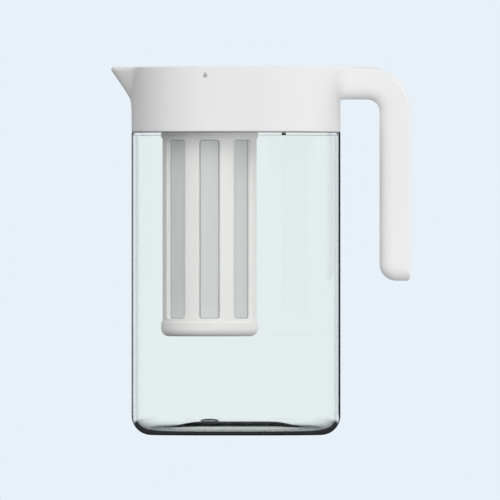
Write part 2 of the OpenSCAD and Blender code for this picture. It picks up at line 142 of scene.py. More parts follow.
# The handle: its arm, its bend, its open-ended grip and the inlay in its inner face
HANDLE_THICK = 20.4
HANDLE_HALF = 12.5
BEND_RADIUS = 28.0
BEND_INNER = BEND_RADIUS - HANDLE_THICK
ARM_TRIM = -0.3
GRIP_TRIM = 0.8
BEND_X = HANDLE_OUT - BEND_RADIUS
BEND_Z = COLLAR_TOP - BEND_RADIUS
ARM_START = END_OFFSET + END_RADIUS - 2.8
INNER_ROUND = 9.0
OUTER_ROUND = 2.5
GRIP_CORNER = 11.0
FOOT_ROUND = 9.0
ROOT_FLARE = 7.0
ROOT_FILLET = 1.5
ROOT_FULL = COLLAR_TOP - 8
GROOVE_EDGE = 0.4
INLAY_HALF = 4.1
INLAY_THICK = 2.4
INLAY_GAP = 0.1
INLAY_EDGE = 0.3
INLAY_LOW = HANDLE_END + 16
INLAY_ARM = END_OFFSET + END_RADIUS + 4

# The field of a cut, where the cut doesn't reach
FAR_INSIDE = -100.0

# The locating keys under the collar, with a bevel whose width is a share of the key's
KEY_X = 30.4
KEY_INSET = 1.7
KEY_LONG = 2.6
KEY_DEEP = 1.8
KEY_LOW = JOINT_Z - 2.4
KEY_HIGH = JOINT_Z - 0.8
KEY_BEVEL = 0.15
KEY_BEVEL_SHARE = 0.15

# The drop mark on the collar: how deep it starts, and its raised face inside a bevel
MARK_SINK = 0.3
MARK_SIDE = 0.02
MARK_RISE = 0.06
MARK_FACE_SHARE = 0.94

# The strainer
RIB_RADIUS = 30.15
RING_RADIUS = 31.1
STRAINER_BORE = 27.2
RING_BORE = 28.9
RING_BOTTOM = JOINT_Z - 3.8
SKIRT_LOW = JOINT_Z - 2.5
CUP_ROUND = 5.2
CUP_WALL = 2.0
CUP_TOP = STRAINER_LOW + 9.2
CUP_FLOOR = STRAINER_LOW + 2.2
RIB_LAP = 2.0
RIB_FILLET = 0.8
RING_EDGE = 0.5
STRAINER_BORE_EDGE = 0.4
WINDOW_EDGE = 0.5
FRONT_WINDOW = 13.6
SIDE_WINDOW = 17.0
SIDE_TURN = math.radians(48)
WINDOW_LOW = STRAINER_LOW + 11.4
WINDOW_HIGH = JOINT_Z - 5.2
WINDOW_CORNER = 2.2
MESH_PITCH = 0.45
MESH_DEPTH = 0.1
MESH_THICK = 0.4
MESH_GAP = 0.05
MESH_LAP = 2.0
# A thin raised dark grey strip round each window's edge: painted shade along the frame's edges
SHADE_LINE_WIDTH = 0.5
SHADE_LINE_RISE = 0.3
SHADE_LINE_SINK = 0.1

# The photograph's frame: its middle and its width at the part, seen level from the front
VIEW_X = 8.96
VIEW_Z = 118.7
VIEW_WIDTH = 320.8
LENS = 1500.0
SENSOR = 36.0
CLIP_SHARE = 3
BACKDROP = (0.807, 0.880, 0.939)

# The studio's soft boxes, each as its turn to the right of the camera, its lift and its level
WHITE = (1.0, 1.0, 1.0)
SOFT_BOXES = (
    (math.radians(0), math.radians(12), 2.28),
    (math.radians(120), math.radians(12), 2.2),
    (math.radians(-55), math.radians(12), 0.6),
    (math.radians(180), math.radians(30), 0.85),
)
BOX_EDGE = 0.5

# The light that the floor gives back: dim at the left and under the jug
FLOOR_TURN = math.radians(85)
FLOOR_SIDE = Vector((math.sin(FLOOR_TURN), -math.cos(FLOOR_TURN), 0))
FLOOR_REACH = 220.0
FLOOR_DIM = 0.08
FLOOR_BRIGHT = 0.72
NEAR_EDGE = (60.0, 120.0)
NEAR_SHARE = 0.3

# The same run of light past the floor's edges, over the part of a direction to that side
FLOOR_SLOPE = 0.7

# The floor that a gloss mirrors: dark at the jug as a painted shadow, and brighter over these distances
# from its foot
FLOOR_GLOSS = 0.035
FLOOR_SHINE = 0.95
SHINE_FRONT = (2.0, 15.0)
SHINE_BACK = (10.0, 60.0)

# Where the front's distances give way to the back's, along X from the middle
SHINE_END = (40.0, 65.0)

# Two dark streaks on it, which start beside the round ends and widen to the back
STREAK_X = 64.0
STREAK_Y = 10.0
STREAK_SPREAD = 0.4
STREAK_EDGE = 6.0

# The floor seen straight on: darker this close to what stands on it
SHADE_REACH = 12.0
SHADE_LEVEL = 0.1
FLOOR_HALF = 700.0
FLOOR_DROP = 0.2

# The room that a gloss mirrors: bright, but dark straight behind the jug, and high and low behind it
ROOM_BRIGHT = 0.95
ROOM_DARK = 0.01
DARK_TURN = math.radians(2.5)

# How far a unit direction goes towards the dark, up or down, and back, as it gets dark
DARK_EDGE = (0.92, 0.955)
STEEP_EDGE = (0.05, 0.3)
AWAY_EDGE = (0.0, 0.3)

# The backdrop seen through the clear plastic, which is dark overhead
OVERHEAD_EDGE = (0.25, 0.5)
OVERHEAD_SHADE = 0.97

# The clear plastic, as light passes one wall of it, and the upper edge, tinted near black as painted shade
# from the collar above it
CLEAR_TINT = (0.988, 0.991, 0.961)
EDGE_PAINTED_SHADE = (0.02, 0.022, 0.024)


def smooth_step(value, low, high):
    t = np.clip((value - low) / (high - low), 0, 1)
    return t * t * (3 - 2 * t)


def round_max(a, b, radius):
    """The intersection of two fields, with a convex edge of that radius."""
    far = np.hypot(np.maximum(a + radius, 0), np.maximum(b + radius, 0))
    return np.minimum(np.maximum(a, b), -radius) + far


def round_min(a, b, radius):
    """The union of two fields, with a hollow fillet of that radius."""
    return -round_max(-a, -b, radius)


def dual_contour(field, low, high, cell):
    """Vertices and quads of the surface where field(x, y, z) is zero, on a grid of cells."""
    axes = [np.arange(a, b + cell, cell) for a, b in zip(low, high)]
    shape = tuple(len(a) for a in axes)
    values = np.broadcast_to(field(*np.ix_(*axes)), shape)
    inside = values < 0
    cells, points, normals, corners, flips = [], [], [], [], []
    for axis in range(3):
        step = np.eye(3, dtype=int)[axis]
        u, v = np.eye(3, dtype=int)[[(axis + 1) % 3, (axis + 2) % 3]]
        first = [slice(0, -1) if k == axis else slice(1, -1) for k in range(3)]
        second = [slice(1, None) if k == axis else slice(1, -1) for k in range(3)]
        at = np.argwhere(inside[tuple(first)] != inside[tuple(second)])
        at += 1 - step
        start = values[tuple(at.T)]
        end = values[tuple((at + step).T)]
        place = np.stack([axes[k][at[:, k]] for k in range(3)], axis=1)
        place = place + (start / (start - end))[:, None] * cell * step
        normal = gradient(field, place)
        around = [at + move for move in (0 * u, -u, -u - v, -v)]
        ids = [np.ravel_multi_index(tuple(c.T), shape) for c in around]
        corners.append(np.stack(ids, axis=1))
        flips.append(start > 0)
        for one in ids:
            cells.append(one)
            points.append(place)
            normals.append(normal)
    cells, index = np.unique(np.concatenate(cells), return_inverse=True)
    vertices = best_points(np.concatenate(points), np.concatenate(normals), index, len(cells))
    lowest = np.stack([axes[k][i] for k, i in enumerate(np.unravel_index(cells, shape))], axis=1)
    vertices = np.clip(vertices, lowest, lowest + cell)
    quads = np.searchsorted(cells, np.concatenate(corners))
    flips = np.concatenate(flips)
    quads[flips] = quads[flips][:, ::-1]
    return vertices, quads


def gradient(field, place, step=0.02):
    """Unit normals of a field at many places."""
    slopes = []
    for axis in np.eye(3) * step:
        ahead, behind = place + axis, place - axis
        slopes.append(field(*ahead.T) - field(*behind.T))
    slopes = np.stack(slopes, axis=1)
    return slopes / np.maximum(np.linalg.norm(slopes, axis=1, keepdims=True), TINY)


def best_points(points, normals, index, count):
    """For each cell, the point that lies best on the tangent planes of its edge crossings."""
    stiffness = 0.06

    def total(weights):
        return np.bincount(index, weights, count)

    number = np.bincount(index, minlength=count)
    middle = np.stack([total(points[:, k]) for k in range(3)], axis=1) / number[:, None]
    reach = np.einsum("ij,ij->i", normals, points - middle[index])
    matrix = np.empty((count, 3, 3))
    for a in range(3):
        for b in range(3):
            matrix[:, a, b] = total(normals[:, a] * normals[:, b])
    matrix += stiffness * np.eye(3)
    right = np.stack([total(normals[:, k] * reach) for k in range(3)], axis=1)
    return middle + np.linalg.solve(matrix, right[:, :, None])[:, :, 0]


def mesh_piece(name, vertices, faces, materials, face_slots=None, sharp_angle=40):
    """A new object from vertices in millimetres, welded, and smooth but for its sharp edges."""
    mesh = bpy.data.meshes.new(name)
    mesh.from_pydata((np.asarray(vertices) * MM).tolist(), [], [list(map(int, f)) for f in faces])
    for material in materials:
        mesh.materials.append(material)
    if face_slots is not None:
        mesh.polygons.foreach_set("material_index", face_slots)
    weld = bmesh.new()
    weld.from_mesh(mesh)
    bmesh.ops.remove_doubles(weld, verts=weld.verts, dist=SAME_PLACE)
    bmesh.ops.recalc_face_normals(weld, faces=weld.faces)
    weld.to_mesh(mesh)
    weld.free()
    mesh.validate()
    mesh.shade_smooth()
    mesh.set_sharp_from_angle(angle=math.radians(sharp_angle))
    piece = bpy.data.objects.new(name, mesh)
    bpy.context.scene.collection.objects.link(piece)
    return piece


def ring_faces(rows, count):
    """Quads between rows of closed rings, each of count points."""
    faces = []
    for low in range(0, (rows - 1) * count, count):
        high = low + count
        for i in range(count):
            following = (i + 1) % count
            faces.append((low + i, low + following, high + following, high + i))
    return faces


def turned_rings(outline, count):
    """Rings of count points round the lid's axis, one for each (r, z), where r may vary round the ring."""
    turn = np.arange(count) * 2 * math.pi / count
    rings = []
    for r, z in outline:
        rings.append(np.stack([LID_X + r * np.cos(turn), r * np.sin(turn), np.full(count, z)], axis=1))
    return np.concatenate(rings)


def stand_for(piece, node, body):
    """The piece rides on a body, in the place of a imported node."""
    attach(piece, body)
    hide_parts(node)


# Materials

def new_material(name):
    material = bpy.data.materials.new(name)
    material.use_nodes = True
    tree = material.node_tree
    shader = tree.nodes["Principled BSDF"]
    return material, tree, shader


def add_node(tree, kind, **settings):
    node = tree.nodes.new(kind)
    for key, value in settings.items():
        if key in node.inputs:
            node.inputs[key].default_value = value
        else:
            setattr(node, key, value)
    return node


def noise(tree, size, detail=2.0):
    """A noise whose bumps are about size millimetres across, fixed to the part."""
    where = add_node(tree, "ShaderNodeTexCoord")
    texture = add_node(tree, "ShaderNodeTexNoise", Scale=1 / (size * MM), Detail=detail)
    tree.links.new(where.outputs["Object"], texture.inputs["Vector"])
    return texture.outputs["Fac"]


def between(tree, factor, low, high):
    """A number that runs from low to high as factor runs from 0 to 1."""
    node = add_node(tree, "ShaderNodeMapRange")
    node.inputs["To Min"].default_value = low
    node.inputs["To Max"].default_value = high
    tree.links.new(factor, node.inputs["Value"])
    return node.outputs["Result"]


def tone(tree, factor, low, high):
    """A colour that runs from low to high as factor runs from 0 to 1."""
    node = add_node(tree, "ShaderNodeMix", data_type="RGBA")
    colours = [s for s in node.inputs if s.type == "RGBA"]
    colours[0].default_value = (*low, 1)
    colours[1].default_value = (*high, 1)
    tree.links.new(factor, node.inputs[0])
    return next(s for s in node.outputs if s.type == "RGBA")


def bump(tree, shader, height, distance):
    node = add_node(tree, "ShaderNodeBump", Strength=1.0, Distance=distance * MM)
    tree.links.new(height, node.inputs["Height"])
    tree.links.new(node.outputs["Normal"], shader.inputs["Normal"])


def grained_finish(name, colour, rough, grain, shine=0.3, metal=0.0):
    """A moulded or turned finish: a fine even grain and a faint drift in tone and gloss."""
    drift_size, drift_share = 35, 0.985
    gloss_size, gloss_drift = 6, 0.04
    grain_size, grain_detail = 0.35, 3.0
    material, tree, shader = new_material(name)
    darker = tuple(c * drift_share for c in colour)
    drift = noise(tree, drift_size, detail=1.0)
    tree.links.new(tone(tree, drift, darker, colour), shader.inputs["Base Color"])
    gloss = between(tree, noise(tree, gloss_size), rough - gloss_drift, rough + gloss_drift)
    tree.links.new(gloss, shader.inputs["Roughness"])
    bump(tree, shader, noise(tree, grain_size, grain_detail), grain)
    shader.inputs["IOR"].default_value = 1.46
    shader.inputs["Specular IOR Level"].default_value = shine
    shader.inputs["Metallic"].default_value = metal
    return material


def woven(name, gap, wire):
    """A fine weave: level wires, whose rounds the bump gives, across the mesh's own upright ones."""
    material, tree, shader = new_material(name)
    where = add_node(tree, "ShaderNodeTexCoord")
    wave_period = math.pi / 10
    scale = wave_period / (MESH_PITCH * MM)
    wave = add_node(tree, "ShaderNodeTexWave", bands_direction="Z", Scale=scale)
    tree.links.new(where.outputs["Object"], wave.inputs["Vector"])
    tree.links.new(tone(tree, wave.outputs["Fac"], gap, wire), shader.inputs["Base Color"])
    bump(tree, shader, wave.outputs["Fac"], MESH_DEPTH)
    shader.inputs["Roughness"].default_value = 0.6
    shader.inputs["Specular IOR Level"].default_value = 0.3
    shader.inputs["Sheen Weight"].default_value = 0.6
    shader.inputs["Sheen Roughness"].default_value = 0.5
    return material


def clear_plastic(name, tint):
    """Clear plastic, whose gloss drifts a little."""
    gloss_size, roughest = 20, 0.02
    material, tree, shader = new_material(name)
    shader.inputs["Base Color"].default_value = (*tint, 1)
    shader.inputs["Transmission Weight"].default_value = 1.0
    shader.inputs["IOR"].default_value = 1.5
    tree.links.new(between(tree, noise(tree, gloss_size), 0.0, roughest), shader.inputs["Roughness"])
    return material


white = grained_finish("white_plastic", (0.86, 0.86, 0.86), rough=0.42, grain=0.004)
clear = clear_plastic("clear_plastic", CLEAR_TINT)
# Near-black clear plastic for the vessel's upper edge: painted shade where the collar meets it
painted_shade_edge = clear_plastic("painted_shade_edge", EDGE_PAINTED_SHADE)
silicone = grained_finish("silicone", (0.70, 0.72, 0.72), rough=0.55, grain=0.003)
mark_grey = grained_finish("mark_grey", (0.42, 0.44, 0.45), rough=0.5, grain=0.003)
# Dark grey for the lines round the strainer's windows: painted shade along the frame's edges
painted_shade_line_grey = grained_finish("painted_shade_line_grey", (0.40, 0.41, 0.41), rough=0.5, grain=0.003)
# Near black with little gloss: painted shade for the keys' dark notch
key_painted_shade = grained_finish("key_painted_shade", (0.01, 0.01, 0.01), rough=0.5, grain=0.003, shine=0.05)
mesh_grey = woven("mesh_grey", gap=(0.68, 0.705, 0.70), wire=(0.80, 0.825, 0.82))
steel = grained_finish("screw_steel", (0.55, 0.56, 0.58), rough=0.3, grain=0.002, metal=1.0)


# The clear vessel

def punt(r, rise):
    """Height of the floor's raised middle at a distance from an end's axis."""
    t = np.clip((r - PUNT_FLAT) / (PUNT_FOOT - PUNT_FLAT), 0, 1)
    return rise * (1 + np.cos(np.pi * t)) / 2


def rounded_outline(points):
    """Points of an open outline whose corners, given as (r, z, radius), are turned into arcs."""
    fewest_steps, step_length = 4, 0.9
    outline = []
    for i, (r, z, radius) in enumerate(points):
        here = np.array([r, z])
        if radius == 0:
            outline.append(here)
            continue
        into = np.array(points[i - 1][:2]) - here
        out = np.array(points[i + 1][:2]) - here
        into = into / np.linalg.norm(into)
        out = out / np.linalg.norm(out)
        half = math.acos(np.clip(into @ out, -1, 1)) / 2
        centre = here + (into + out) / np.linalg.norm(into + out) * radius / math.sin(half)
        start = here + into * radius / math.tan(half) - centre
        end = here + out * radius / math.tan(half) - centre
        sweep = math.pi - 2 * half
        steps = max(fewest_steps, round(sweep * radius / step_length))
        for k in range(steps + 1):
            t = k / steps
            a, b = math.sin((1 - t) * sweep), math.sin(t * sweep)
            outline.append(centre + (a * start + b * end) / math.sin(sweep))
    return outline


def obround_ring():
    """Places round the obround, as the end's axis and the direction out from it."""
    arc_steps = 72
    line_steps = 68
    ring = []
    for side in (1, -1):
        for k in range(arc_steps):
            t = math.pi * (k / arc_steps - 0.5) + (0 if side > 0 else math.pi)
            ring.append((side * END_OFFSET, math.cos(t), math.sin(t)))
        for k in range(line_steps):
            ring.append((side * END_OFFSET * (1 - 2 * k / line_steps), 0.0, float(side)))
    return np.array(ring)


def make_vessel():
    """The clear wall and floor, turned round both ends, with its upper edge tinted near black: painted
    shade where the collar sits on it.
    """
    punt_points = 61
    inner = END_RADIUS - WALL
    neck_bore = NECK_RADIUS - WALL
    across = np.linspace(0, PUNT_FOOT, punt_points)
    curve = [(r, float(punt(r, PUNT_UNDER)), 0) for r in across]
    raised = [(r, float(punt(r, PUNT_RISE)) + FLOOR, 0) for r in reversed(across)]
    outside = rounded_outline(curve + [
        (END_RADIUS - BASE_ROUND - HOLD, 0, 0),
        (END_RADIUS, 0, BASE_ROUND),
        (END_RADIUS, BASE_ROUND + HOLD, 0),
        (END_RADIUS, JOINT_Z - TOP_EDGE - HOLD, 0),
        (END_RADIUS, JOINT_Z - TOP_EDGE, 0),
    ])
    edge = rounded_outline([
        (END_RADIUS, JOINT_Z - 2 * TOP_EDGE, 0),
        (END_RADIUS, JOINT_Z, TOP_EDGE),
        (END_RADIUS - 2 * TOP_EDGE, JOINT_Z, 0),
    ])[1:-1]
    inside = rounded_outline([
        (END_RADIUS - TOP_EDGE, JOINT_Z, 0),
        (NECK_RADIUS, JOINT_Z, SHOULDER_FILLET),
        (NECK_RADIUS, BEAD_Z, BEAD_FILLET),
        (NECK_RADIUS + BEAD_RISE, BEAD_Z, BEAD_EDGE),
        (NECK_RADIUS + BEAD_RISE, BEAD_Z + BEAD_HEIGHT, BEAD_EDGE),
        (NECK_RADIUS, BEAD_Z + BEAD_HEIGHT, BEAD_FILLET),
        (NECK_RADIUS, NECK_TOP, NECK_EDGE),
        (neck_bore, NECK_TOP, NECK_EDGE),
        (neck_bore, NECK_TOP - HOLD, 0),
        (neck_bore, JOINT_Z - SHOULDER + STEP_HOLD, 0),
        (neck_bore, JOINT_Z - SHOULDER, STEP_ROUND),
        (inner, JOINT_Z - SHOULDER, STEP_ROUND),
        (inner, JOINT_Z - SHOULDER - STEP_HOLD, 0),
        (inner, FLOOR + BASE_ROUND - WALL + HOLD, 0),
        (inner, FLOOR, BASE_ROUND - WALL),
        (END_RADIUS - BASE_ROUND - HOLD, FLOOR, 0),
    ] + raised)
    outline = outside + edge[1:] + inside[1:]
    ring = obround_ring()
    vertices = []
    for r, z in outline:
        x = ring[:, 0] + r * ring[:, 1]
        y = r * ring[:, 2]
        vertices.append(np.stack([x, y, np.full(len(x), z)], axis=1))
    vertices = np.concatenate(vertices)
    faces = ring_faces(len(outline), len(ring))
    rows = [0] * (len(outside) - 1) + [1] * (len(edge) - 1) + [0] * (len(inside) - 1)
    slots = np.repeat(rows, len(ring))
    piece = mesh_piece("clear_vessel", vertices, faces, (clear, painted_shade_edge), slots, sharp_angle=60)
    piece.visible_diffuse = False
    piece.visible_shadow = False
    stand_for(piece, "vessel", "jug")


def make_gate():
    """The hollow bead that the moulding leaves on the raised floor, half sunk in it, open at its poles."""
    count, rows, pole_share = 64, 25, 0.97
    reach = pole_share * math.pi / 2
    rise = np.linspace(-reach, reach, rows)
    outline = [(GATE_RADIUS * math.cos(t), GATE_Z + GATE_RISE * math.sin(t)) for t in rise]
    hollow, drop = GATE_RADIUS - GATE_WALL, GATE_RISE - GATE_WALL
    outline += [(hollow * math.cos(t), GATE_Z + drop * math.sin(t)) for t in reversed(rise)]
    outline.append(outline[0])
    faces = ring_faces(len(outline), count)
    piece = mesh_piece("gate_mark", turned_rings(outline, count), faces, [clear])
    piece.visible_diffuse = False
    piece.visible_shadow = False
    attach(piece, "jug")


# The collar with its spout and handle

def spout_bulge(y, z):
    """How far the spout stands out from the round end: a wave that gets narrower as it runs out below."""
    crest = SPOUT_REACH - SPOUT_LEAN * np.maximum(LIP_Z - z, 0)
    crest = np.maximum((crest + np.sqrt(crest**2 + SPOUT_BLEND**2)) / 2 - BLEND_TAIL, 0)
    half = SPOUT_HALF * np.sqrt(crest / SPOUT_REACH) + SPOUT_LEAST
    return crest * (1 + np.cos(np.pi * np.minimum(np.abs(y) / half, 1))) / 2


def obround_field(x, y, radius):
    """Distance from an upright obround wall round both ends' axes."""
    return np.hypot(np.maximum(np.abs(x) - END_OFFSET, 0), y) - radius


def channel_field(x, y, z, grow):
    """The pour channel: a trough through three stations along X, made wider all round by grow."""
    stations = (CHANNEL_LIP, CHANNEL_MIDDLE, CHANNEL_PORT)
    floor = np.interp(x, stations, CHANNEL_FLOOR)
    low_half = np.interp(x, stations, CHANNEL_LOW_HALF)
    high_half = np.interp(x, stations, CHANNEL_HIGH_HALF)
    half = low_half + (high_half - low_half) * (z - floor) / (CHANNEL_TOP - floor)
    trough = np.maximum(floor - z, np.abs(y) - half) - grow
    return np.maximum(trough, np.maximum(CHANNEL_LIP - grow - x, x - CHANNEL_PORT))


def handle_level(x, z):
    """Distance from the bend's axis, along the arm, round the bend and down the grip."""
    bend = np.hypot(np.maximum(x - BEND_X, 0), np.maximum(z - BEND_Z, 0))
    return np.where(x < BEND_X, z - BEND_Z, np.where(z < BEND_Z, x - BEND_X, bend))


def handle_trim(x, z):
    """How far the handle's inner face is cut back from an even thickness, on the arm and on the grip."""
    turn = np.arctan2(np.maximum(x - BEND_X, 0), np.maximum(z - BEND_Z, 0)) / (np.pi / 2)
    return ARM_TRIM + (GRIP_TRIM - ARM_TRIM) * smooth_step(turn, 0, 1)


def collar_field(x, y, z):
    """The collar with its spout and handle, then its hollow, and what takes the lid and the pour."""
    wide = np.abs(y)
    plan = obround_field(x, y, END_RADIUS)
    spout = obround_field(np.where(x < 0, x + spout_bulge(y, z), x), y, END_RADIUS)
    level = handle_level(x, z)
    arm = round_max(BEND_INNER + handle_trim(x, z) - level, wide - HANDLE_HALF, INNER_ROUND)
    arm = np.maximum(arm, ARM_START - x)
    flare = ROOT_FILLET + (ROOT_FLARE - ROOT_FILLET) * smooth_step(z, BEND_Z + BEND_INNER, ROOT_FULL)
    body = round_min(round_max(spout, JOINT_Z - z, EDGE_LOW), arm, flare)
    edge = EDGE_TOP + (OUTER_ROUND - EDGE_TOP) * smooth_step(x, ARM_START, BEND_X)
    body = round_max(body, level - BEND_RADIUS, edge)
    body = round_max(body, np.where(z < JOINT_Z, HANDLE_END - z, FAR_INSIDE), OUTER_ROUND)
    grip_end = round_max(BEND_X + BEND_INNER + GRIP_TRIM - x, HANDLE_END - z, GRIP_CORNER)
    grip_foot = round_max(wide - HANDLE_HALF, grip_end, FOOT_ROUND)
    body = np.maximum(body, np.where((x > BEND_X) & (z < JOINT_Z), grip_foot, FAR_INSIDE))
    groove = np.maximum(wide - INLAY_HALF, level - BEND_INNER - INLAY_THICK)
    groove = np.maximum(groove, np.maximum(INLAY_LOW - z, INLAY_ARM - x))
    body = round_max(body, -groove, GROOVE_EDGE)

    inside = np.maximum(plan + COLLAR_WALL, z - COLLAR_TOP + DECK)
    body = np.maximum(body, -inside)
    out = np.hypot(x - LID_X, y)
    sleeve = np.maximum(out - BORE_RADIUS - SLEEVE_WALL, PLATE_TOP - z)
    seat = np.maximum(out - SEAT_RADIUS - SLEEVE_WALL, SEAT_Z - SEAT_THICK - z)
    trough_wall = np.maximum(channel_field(x, y, z, CHANNEL_WALL), PLATE_TOP - z)
    trough_wall = np.maximum(trough_wall, plan + COLLAR_WALL / 2)
    added = np.minimum(np.minimum(sleeve, seat), trough_wall)
    body = np.minimum(body, np.maximum(added, z - WALLS_TOP))
    bore = np.maximum(out - BORE_RADIUS, BORE_LOW - z)
    recess = np.maximum(out - SEAT_RADIUS, SEAT_Z - z)
    body = round_max(body, -np.minimum(bore, recess), BORE_EDGE)
    seat_ring = np.maximum(out - SEAT_RADIUS, SEAT_Z - SEAT_THICK - z)
    channel = np.maximum(channel_field(x, y, z, 0), -seat_ring)
    return round_max(body, -channel, BORE_EDGE)


def mould(name, field, node, body, cell):
    """A white piece from a field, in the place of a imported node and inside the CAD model's box."""
    margin_cells = 2.3
    room = margin_cells * cell
    low, high = (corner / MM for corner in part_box(node))
    vertices, quads = dual_contour(field, [v - room for v in low], [v + room for v in high], cell)
    vertices = np.clip(vertices, *(np.array(corner) / MM for corner in cad_box))
    piece = mesh_piece(name, vertices, quads, [white])
    stand_for(piece, node, body)


def inlay_field(x, y, z):
    """The strip that closes the cored handle, level with the handle's inner face."""
    level = handle_level(x, z)
    strip = np.maximum(np.abs(y) - INLAY_HALF + INLAY_GAP, level - BEND_INNER - INLAY_THICK)
    strip = np.maximum(strip, np.maximum(INLAY_LOW + INLAY_GAP - z, INLAY_ARM + INLAY_GAP - x))
    return round_max(strip, BEND_INNER + handle_trim(x, z) - level, INLAY_EDGE)


# The strainer

def strainer_field(x, y, z):
    """The ribbed cage between its cup and its upper ring."""
    out = np.hypot(x - LID_X, y)
    cup = round_max(out - RING_RADIUS, STRAINER_LOW - z, CUP_ROUND)
    cup = round_max(cup, z - CUP_TOP, RING_EDGE)
    ring = round_max(out - RING_RADIUS, np.maximum(RING_BOTTOM - z, z - STRAINER_HIGH), RING_EDGE)
    tube = np.maximum(out - RIB_RADIUS, np.maximum(CUP_TOP - RIB_LAP - z, z - RING_BOTTOM - RIB_LAP))
    body = round_min(round_min(tube, cup, RIB_FILLET), ring, RIB_FILLET)
    bore = round_max(out - STRAINER_BORE, CUP_FLOOR - z, CUP_ROUND - CUP_WALL)
    bore = np.minimum(bore, np.maximum(out - RING_BORE, SKIRT_LOW - z))
    body = round_max(body, -bore, STRAINER_BORE_EDGE)
    return round_max(body, -window_field(x, y, z), WINDOW_EDGE)


MIDDLE_HALF = math.asin(FRONT_WINDOW / 2 / RIB_RADIUS)
SIDE_HALF = math.asin(SIDE_WINDOW / 2 / RIB_RADIUS)
WINDOW_MIDDLE = (WINDOW_LOW + WINDOW_HIGH) / 2
WINDOW_TALL = (WINDOW_HIGH - WINDOW_LOW) / 2


def window_field(x, y, z):
    """The six windows, three on the front and three on the back, whose side walls run to the axis."""
    turn = np.arctan2(np.abs(x - LID_X), np.abs(y))
    across = np.minimum(turn - MIDDLE_HALF, np.abs(turn - SIDE_TURN) - SIDE_HALF) * RIB_RADIUS
    return round_max(across, np.abs(z - WINDOW_MIDDLE) - WINDOW_TALL, WINDOW_CORNER)


def make_mesh():
    """A thin sleeve inside the windows, whose outside is a row of upright wires."""
    wire_steps = 4
    outer = STRAINER_BORE - MESH_GAP
    count = wire_steps * round(2 * math.pi * outer / MESH_PITCH)
    low, high = WINDOW_LOW - MESH_LAP, WINDOW_HIGH + MESH_LAP
    wires = outer - MESH_DEPTH * (1 - np.abs(np.sin(np.pi * np.arange(count) / wire_steps)))
    sleeve = np.full(count, outer - MESH_THICK)
    rows = ((wires, low), (wires, high), (sleeve, high), (sleeve, low), (wires, low))
    faces = ring_faces(len(rows), count)
    piece = mesh_piece("woven_mesh", turned_rings(rows, count), faces, [mesh_grey], sharp_angle=80)
    stand_for(piece, "strainer_mesh", "strainer")


def window_edge(half, inset):
    """Points round a window, as distances across and up from its middle, inset from its edge."""
    corner_steps, side_steps = 6, 12
    points = []
    for k, (across, up) in enumerate(((1, 1), (-1, 1), (-1, -1), (1, -1))):
        middle = np.array([across * (half - WINDOW_CORNER), up * (WINDOW_TALL - WINDOW_CORNER)])
        for j in range(corner_steps + 1):
            t = math.pi / 2 * (k + j / corner_steps)
            points.append(middle + (WINDOW_CORNER - inset) * np.array([math.cos(t), math.sin(t)]))
        if k % 2 == 0:
            end = points[-1] * [-1, 1]
            points += [points[-1] + (end - points[-1]) * j / side_steps for j in range(1, side_steps)]
    return np.array(points)


def make_shade_lines():
    """Dark grey lines round the windows' edges, where the mesh meets the frame: painted shade along those
    edges.
    """
    low = STRAINER_BORE - SHADE_LINE_SINK
    high = low + SHADE_LINE_RISE
    rows = ((0.0, low), (0.0, high), (SHADE_LINE_WIDTH, high), (SHADE_LINE_WIDTH, low), (0.0, low))
    vertices, faces = [], []
    for face in (0, math.pi):
        for turn, half in ((0, MIDDLE_HALF), (SIDE_TURN, SIDE_HALF), (-SIDE_TURN, SIDE_HALF)):
            first = len(vertices)
            for inset, radius in rows:
                edge = window_edge(half * RIB_RADIUS, inset)
                t = face + turn + edge[:, 0] / RIB_RADIUS
                places = LID_X + radius * np.sin(t), -radius * np.cos(t), WINDOW_MIDDLE + edge[:, 1]
                vertices += np.stack(places, axis=1).tolist()
            faces += [tuple(first + i for i in f) for f in ring_faces(len(rows), len(edge))]
    piece = mesh_piece("mesh_shade_lines", vertices, faces, [painted_shade_line_grey])
    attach(piece, "strainer")


# The keys that locate the collar on the vessel, front right and back left, in near black: painted shade
# for the dark notch they sit in

def make_keys():
    """Two blocks with bevelled ends, one turned half round from the other."""
    half_long, half_deep = KEY_LONG / 2, KEY_DEEP / 2
    corners = ((-1, -1), (1, -1), (1, 1), (-1, 1))
    outline = [(across * half_long, along_y * half_deep) for across, along_y in corners]
    inner = 1 - KEY_BEVEL_SHARE
    rows = ((inner, KEY_LOW), (1, KEY_LOW + KEY_BEVEL), (1, KEY_HIGH - KEY_BEVEL), (inner, KEY_HIGH))
    y = math.sqrt((END_RADIUS - KEY_INSET) ** 2 - (KEY_X - END_OFFSET) ** 2)
    for side, name in ((1, "front_key"), (-1, "back_key")):
        vertices = []
        for scale, z in rows:
            for x, depth in outline:
                vertices.append((side * (KEY_X + x * scale), side * (depth * scale - y), z))
        faces = ring_faces(len(rows), len(outline)) + [(3, 2, 1, 0), (12, 13, 14, 15)]
        piece = mesh_piece(name, vertices, faces, [key_painted_shade])
        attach(piece, "jug")


# The drop mark on the front of the collar

